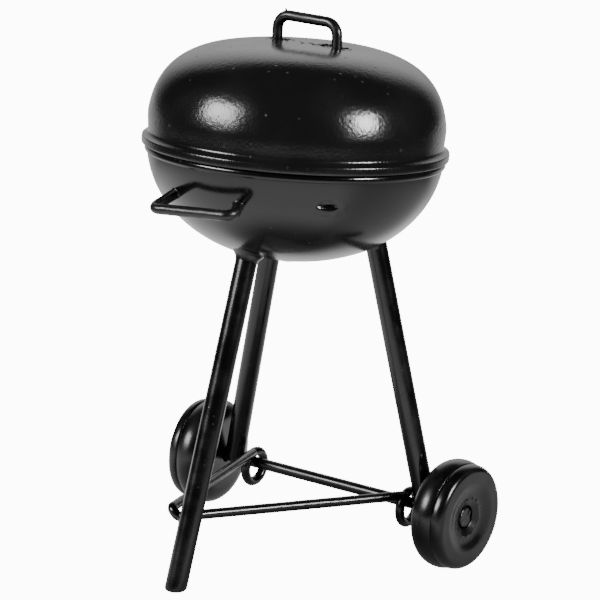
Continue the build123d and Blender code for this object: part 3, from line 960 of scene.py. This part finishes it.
def makeBrace():
    low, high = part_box("brace_wire")
    branches = [centreLine("brace_wire", axisY, brace["cuts"], 0, isLeft) for isLeft in (True, False)]
    # the tip joins the branches in front of the leg, one wire's thickness from the frontmost point
    tips = [onLine(line, axisY, low.y + wireRadius) for line in branches]
    eyeRadius = (high.y - axleMiddle.y) - wireRadius
    bm = bmesh.new()
    ends = []
    for line, side in zip(branches, (-1, 1)):
        underAxle = cutPoints("brace_wire", axisZ, axleMiddle.z - brace["eyeCut"])
        eyeX = middle([point for point in underAxle if point.x * side > 0]).x
        across = cutPoints("brace_wire", axisX, eyeX)
        lowZ = min(point.z for point in across if point.y > axleMiddle.y - brace["eyeReach"])
        centre = Vector((eyeX, axleMiddle.y, lowZ + wireRadius + eyeRadius))
        angles = [2 * pi * turn / brace["eyeSteps"] for turn in range(brace["eyeSteps"])]
        ring = [centre + Vector((0, cos(angle), sin(angle))) * eyeRadius for angle in angles]
        tube(bm, ring, lambda run: wireRadius * brace["eyeWire"], brace["sides"], brace["lump"], loop=True)
        # the branch ends where it comes nearest to the eye on the near side
        far = line[1] + (line[1] - line[0]).normalized() * brace["branchReach"] * mm
        ends.append(min(
            (line[0].lerp(far, step / 400) for step in range(401)),
            key=lambda point: abs((point - centre).length - eyeRadius) + (0 if point.y < centre.y else 1),
        ))
    wireFrom(bm, [ends[0], *tips, ends[1]], brace, wireRadius, 0.15 * mm)
    makePiece("braceWire", bm, frameEnamel, "stand", "frame_paint", "brace_wire")


makeBrace()

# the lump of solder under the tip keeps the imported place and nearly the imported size, roughened
braceSolder = {"size": 0.92, "lump": 0.12, "grit": 0.05}
low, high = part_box("brace_solder")
centre = (low + high) / 2
half = (high - low) / 2 * braceSolder["size"]
bm = bmesh.new()
bmesh.ops.create_icosphere(bm, subdivisions=5, radius=1.0)
for vert in bm.verts:
    outward = vert.co.copy()
    lump = 1 + braceSolder["lump"] * noise.noise(outward * 1.7 + centre * 300)
    lump += braceSolder["grit"] * noise.noise(outward * 4.0)
    vert.co = centre + Vector([outward[axis] * half[axis] for axis in range(3)]) * lump
makePiece("braceSolder", bm, frameEnamel, "stand", "frame_paint", "brace_solder")
for side in ("left", "right"):
    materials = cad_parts[f"lid_handle_solder_{side}"].data.materials
    materials.clear()
    materials.append(lidEnamel)
print("brace made")


# geometry node helpers

def newTree(name, inputs):
    tree = bpy.data.node_groups.new(name, "GeometryNodeTree")
    for way in ("INPUT", "OUTPUT"):
        tree.interface.new_socket("Geometry", in_out=way, socket_type="NodeSocketGeometry")
    identifiers = {}
    for label, (kind, value) in inputs.items():
        socket = tree.interface.new_socket(label, in_out="INPUT", socket_type=kind)
        socket.default_value = value
        identifiers[label] = socket.identifier
    return tree, addNode(tree, "NodeGroupInput").outputs, identifiers


def finishTree(tree, given, geometry):
    smooth = addNode(tree, "GeometryNodeSetShadeSmooth", {"Geometry": geometry})
    real = addNode(tree, "GeometryNodeRealizeInstances", {0: smooth.outputs[0]})
    inputs = {"Geometry": real.outputs[0], "Material": given["Material"]}
    painted = addNode(tree, "GeometryNodeSetMaterial", inputs)
    addNode(tree, "NodeGroupOutput", {0: painted.outputs[0]})


def bakeTree(name, source, tree, identifiers, values):
    # runs the tree on a source mesh and keeps only the plain mesh that comes out
    host = addObject(name + "Host", source)
    modifier = host.modifiers.new("maker", "NODES")
    modifier.node_group = tree
    for label, value in values.items():
        modifier[identifiers[label]] = value
    ready = host.evaluated_get(bpy.context.evaluated_depsgraph_get())
    mesh = bpy.data.meshes.new_from_object(ready)
    bpy.data.objects.remove(host)
    mesh.name = name
    return addObject(name, mesh)


# cooking grate

grateDetail = {"rimSteps": 160, "rimSides": 20, "barSides": 16, "barSegments": 12}


def buildGrateTree():
    number = "NodeSocketFloat"
    tree, given, identifiers = newTree("grateBars", {
        "Rim Radius": (number, 0.0216), "Rim Wire": (number, 0.0005), "Rim Level": (number, 0.06),
        "Bar Wire": (number, 0.00035), "Bar Pitch": (number, 0.0024), "Bars": ("NodeSocketInt", 15),
        "Material": ("NodeSocketMaterial", None),
    })
    rim, section = (
        addNode(tree, "GeometryNodeCurvePrimitiveCircle", {"Resolution": steps, "Radius": given[radius]})
        for steps, radius in ((grateDetail["rimSteps"], "Rim Radius"), (grateDetail["rimSides"], "Rim Wire"))
    )
    rimMesh = addNode(tree, "GeometryNodeCurveToMesh", {0: rim.outputs["Curve"], 1: section.outputs["Curve"]})

    span = combine(tree, "MULTIPLY", combine(tree, "SUBTRACT", given["Bars"], 1.0), given["Bar Pitch"])
    row = addNode(tree, "GeometryNodeMeshLine", {
        "Count": given["Bars"], "Start Location": vector(tree, combine(tree, "MULTIPLY", span, -0.5)),
        "Offset": vector(tree, given["Bar Pitch"]),
    })
    # a bar ends where it meets the rim, so its length follows from how far it is from the middle
    position = addNode(tree, "GeometryNodeInputPosition").outputs[0]
    barX = addNode(tree, "ShaderNodeSeparateXYZ", {0: position}).outputs[0]
    rimSquare, barSquare = (combine(tree, "POWER", side, 2.0) for side in (given["Rim Radius"], barX))
    halfLength = combine(tree, "SQRT", combine(tree, "SUBTRACT", rimSquare, barSquare))
    bar = addNode(tree, "GeometryNodeMeshCylinder", {
        "Vertices": grateDetail["barSides"], "Side Segments": grateDetail["barSegments"],
        "Depth": 1.0, "Radius": given["Bar Wire"],
    })
    copies = addNode(tree, "GeometryNodeInstanceOnPoints", {
        "Points": row.outputs["Mesh"], "Instance": bar.outputs["Mesh"], "Rotation": (pi / 2, 0, 0),
        "Scale": vector(tree, 1.0, 1.0, combine(tree, "MULTIPLY", halfLength, 2.0)),
    })
    height = combine(tree, "ADD", given["Rim Wire"], given["Bar Wire"])
    lifted = addNode(tree, "GeometryNodeTransform", {
        "Geometry": copies.outputs["Instances"], "Translation": vector(tree, 0.0, 0.0, height),
    })
    joined = addNode(tree, "GeometryNodeJoinGeometry", {0: rimMesh.outputs["Mesh"]})
    feed(tree, joined, {0: lifted.outputs[0]})
    level = addNode(tree, "GeometryNodeTransform", {
        "Geometry": joined.outputs[0], "Translation": vector(tree, 0.0, 0.0, given["Rim Level"]),
    })
    finishTree(tree, given, level.outputs[0])
    return tree, identifiers


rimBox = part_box("grate_rim")
barNodes = sorted(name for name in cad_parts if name.startswith("grate_bar_"))
barBoxes = [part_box(name) for name in barNodes]
rimWire = (rimBox[1].z - rimBox[0].z) / 2
grateTree, grateSockets = buildGrateTree()
grate = bakeTree("cookingGrate", bpy.data.meshes.new("grateSeed"), grateTree, grateSockets, {
    "Rim Radius": rimBox[1].x - rimWire,
    "Rim Wire": rimWire,
    "Rim Level": (rimBox[0].z + rimBox[1].z) / 2,
    "Bar Wire": (barBoxes[0][1].z - barBoxes[0][0].z) / 2,
    "Bar Pitch": abs(barBoxes[1][0].x - barBoxes[0][0].x),
    "Bars": len(barNodes),
    "Material": grateSteel,
})
fitPiece(grate, "grate", "grate_steel", "grate_rim", *barNodes)


# dust caught in the wet paint

dust = {
    "lidDust": {"Density": 60000.0, "Largest": 0.13 * mm, "Seed": 4},
    "bowlDust": {"Density": 18000.0, "Largest": 0.16 * mm, "Seed": 7},
    "legDust": {"Density": 90000.0, "Largest": 0.13 * mm, "Seed": 9},
    "rightWheelDust": {"Density": 60000.0, "Largest": 0.14 * mm, "Seed": 12},
    "leftWheelDust": {"Density": 60000.0, "Largest": 0.14 * mm, "Seed": 15},
}
dustShape = {"skew": 2.5, "width": 0.8}  # a larger skew makes large specks rarer


def buildDustTree():
    number = "NodeSocketFloat"
    tree, given, identifiers = newTree("paintDust", {
        "Density": (number, 20000.0), "Smallest": (number, 0.00004), "Largest": (number, 0.00014),
        "Sink": (number, 0.3), "Seed": ("NodeSocketInt", 1), "Material": ("NodeSocketMaterial", None),
    })
    scatter = addNode(tree, "GeometryNodeDistributePointsOnFaces", {
        "Mesh": given["Geometry"], "Density": given["Density"], "Seed": given["Seed"],
    }).outputs
    speck = addNode(tree, "GeometryNodeMeshIcoSphere", {"Radius": 1.0, "Subdivisions": 2})
    chance = addNode(tree, "FunctionNodeRandomValue", {"Seed": given["Seed"]}, data_type="FLOAT")
    skewed = combine(tree, "POWER", chance.outputs[1], dustShape["skew"])
    span = combine(tree, "SUBTRACT", given["Largest"], given["Smallest"])
    size = combine(tree, "ADD", given["Smallest"], combine(tree, "MULTIPLY", skewed, span))
    width = combine(tree, "MULTIPLY", size, dustShape["width"])
    copies = addNode(tree, "GeometryNodeInstanceOnPoints", {
        "Points": scatter["Points"], "Rotation": scatter["Rotation"], "Instance": speck.outputs["Mesh"],
        "Scale": vector(tree, size, width, combine(tree, "MULTIPLY", size, given["Sink"])),
    })
    finishTree(tree, given, copies.outputs["Instances"])
    return tree, identifiers


dustTree, dustSockets = buildDustTree()


def addDust(name, onPieces, material, body, slot):
    bm = bmesh.new()
    for piece in onPieces:
        bm.from_mesh(bpy.data.objects[piece].data)
    values = {**dust[name], "Material": material}
    specks = bakeTree(name, meshFrom(name + "Source", bm), dustTree, dustSockets, values)
    fitPiece(specks, body, slot)


addDust("lidDust", ["lidShell"], lidEnamel, "lid", "lid_paint")
addDust("bowlDust", ["bowlShell"], bowlEnamel, "stand", "bowl_paint")
addDust("legDust", ["frontLeg", "leftLeg", "rightLeg"], frameEnamel, "stand", "frame_paint")
addDust("rightWheelDust", ["rightWheel"], wheelEnamel, "right_wheel", "wheel_paint")
addDust("leftWheelDust", ["leftWheel"], wheelEnamel, "left_wheel", "wheel_paint")
print("grate and paint dust made")


# camera

camera = {
    "azimuth": 33.972, "elevation": 12.524, "roll": 3.847,
    "distance": 392.713 * mm, "aimUp": 42.817 * mm, "aimRight": 2.343 * mm, "lens": 146.70,
}
azimuth, elevation, roll = (radians(camera[key]) for key in ("azimuth", "elevation", "roll"))
level = Vector((cos(azimuth), sin(azimuth), 0))
back = Vector((sin(azimuth) * cos(elevation), -cos(azimuth) * cos(elevation), sin(elevation)))
upright = back.cross(level)
right = level * cos(roll) + upright * sin(roll)
up = upright * cos(roll) - level * sin(roll)
aim = Vector((0, 0, camera["aimUp"])) + right * camera["aimRight"]
cameraData = bpy.data.cameras.new("studioCamera")
cameraData.lens = camera["lens"]
cameraData.sensor_width = 36.0
cameraData.clip_start = 0.01
cameraObject = addObject("studioCamera", cameraData)
turned = Matrix((right, up, back)).transposed().to_4x4()
cameraObject.matrix_world = Matrix.Translation(aim + back * camera["distance"]) @ turned
bpy.context.scene.camera = cameraObject


# studio: two soft boxes, a pale floor and a pale backdrop behind the grill

studio = {
    "boxDistance": 500 * mm, "boxPower": 9.0,
    # bearing from the front and height in degrees, width, height, share of the power
    "boxes": ((-29.0, 21.7, 210 * mm, 165 * mm, 0.33), (89.0, 22.0, 130 * mm, 140 * mm, 0.36)),
    "floorSize": 6.0, "floorGap": 0.02 * mm, "floorLight": 1.45, "floorDark": 0.02,
    "floorFade": (110 * mm, 300 * mm),  # the painted pool of light round the grill ends here
    "shadeFade": (14 * mm, 52 * mm), "shadeUnder": 0.12,  # the grill's shade, painted in the middle of the floor
    # the floor's painted light is dimmer on the side towards this bearing
    "dimSideBearing": 125.0, "dimSideFade": (0.5, 0.9), "dimSideShare": 0.5,
    "backdropBearing": -146.0, "backdropLight": 1.35, "backdropFade": (0.68, 0.97), "backdropTop": (0.6, 0.8),
    "horizonFade": (0.05, 0.45), "horizonShare": 0.45, "floorBack": 0.6, "floorBackFade": (0.45, 0.8),
    "dark": 0.006, "seen": 12.0,
}
kettleMiddle = Vector((0, 0, (bowlBox[0].z + crown) / 2))
for index, (bearing, height, wide, tall, share) in enumerate(studio["boxes"]):
    bearing, height = radians(bearing), radians(height)
    toLight = Vector((sin(bearing) * cos(height), -cos(bearing) * cos(height), sin(height)))
    lamp = bpy.data.lights.new(f"softBox{index + 1}", "AREA")
    lamp.shape = "RECTANGLE"
    lamp.size = wide
    lamp.size_y = tall
    lamp.energy = studio["boxPower"] * share
    lampObject = bpy.data.objects.new(lamp.name, lamp)
    lampObject.location = kettleMiddle + toLight * studio["boxDistance"]
    lampObject.rotation_euler = toLight.to_track_quat("Z", "Y").to_euler()
    lampObject.visible_camera = False
    bpy.context.collection.objects.link(lampObject)


def alongBearing(tree, heading, bearing):
    # 1 where a heading points along the bearing, 0 square to it
    turned = radians(bearing)
    return vectorMath(tree, "DOT_PRODUCT", heading, (sin(turned), -cos(turned), 0))


def paleWhenSeen(tree, light):
    # the camera sees an even pale tone, while the grill is lit and mirrored by the light itself
    direct = addNode(tree, "ShaderNodeLightPath").outputs["Is Camera Ray"]
    return addNode(tree, "ShaderNodeMix", {0: direct, 2: light, 3: studio["seen"]}).outputs[0]


def makeFloor():
    half = studio["floorSize"] / 2
    bm = bmesh.new()
    corners = ((-half, -half), (half, -half), (half, half), (-half, half))
    bm.faces.new([bm.verts.new((x, y, cadLow.z - studio["floorGap"])) for x, y in corners])
    mesh = meshFrom("studioFloor", bm)
    material, tree, shader = newMaterial("paleFloor")
    tree.nodes.remove(shader)
    # the floor's glow is painted light: a pool round the grill and all the way back to the backdrop, dimmer
    # on one side, with painted shade under the grill
    place = addNode(tree, "ShaderNodeTexCoord").outputs["Object"]
    away = vectorMath(tree, "LENGTH", place)
    heading = vectorMath(tree, "NORMALIZE", place)
    near = remap(tree, away, *studio["floorFade"], 1.0, 0.0)
    behind = alongBearing(tree, heading, studio["backdropBearing"])
    back = remap(tree, behind, *studio["floorBackFade"], 0.0, studio["floorBack"])
    aside = alongBearing(tree, heading, studio["dimSideBearing"])
    near = combine(tree, "MULTIPLY", near, remap(tree, aside, *studio["dimSideFade"], 1.0, studio["dimSideShare"]))
    shade = remap(tree, away, *studio["shadeFade"], studio["shadeUnder"], 1.0)
    lit = combine(tree, "MULTIPLY", combine(tree, "MAXIMUM", near, back), shade)
    light = remap(tree, lit, 0.0, 1.0, studio["floorDark"], studio["floorLight"], False)
    glow = addNode(tree, "ShaderNodeEmission", {"Strength": paleWhenSeen(tree, light)})
    feed(tree, tree.nodes["Material Output"], {"Surface": glow.outputs[0]})
    mesh.materials.append(material)
    addObject("studioFloor", mesh)


def makeWorld():
    world = bpy.data.worlds.new("studioRoom")
    bpy.context.scene.world = world
    world.use_nodes = True
    tree = world.node_tree
    place = addNode(tree, "ShaderNodeTexCoord").outputs["Generated"]
    height = addNode(tree, "ShaderNodeSeparateXYZ", {0: place}).outputs[2]
    heading = vectorMath(tree, "NORMALIZE", vectorMath(tree, "MULTIPLY", place, (1, 1, 0)))
    behind = alongBearing(tree, heading, studio["backdropBearing"])
    facing = remap(tree, behind, *studio["backdropFade"], 0.0, 1.0)
    lowEnough = remap(tree, height, *studio["backdropTop"], 1.0, 0.0)
    horizon = remap(tree, height, *studio["horizonFade"], studio["horizonShare"], 1.0)
    backdrop = combine(tree, "MULTIPLY", combine(tree, "MULTIPLY", facing, lowEnough), horizon)
    light = remap(tree, backdrop, 0.0, 1.0, studio["dark"], studio["backdropLight"], False)
    feed(tree, tree.nodes["Background"], {"Color": (1, 1, 1, 1), "Strength": paleWhenSeen(tree, light)})


makeFloor()
makeWorld()
print("camera and studio ready")
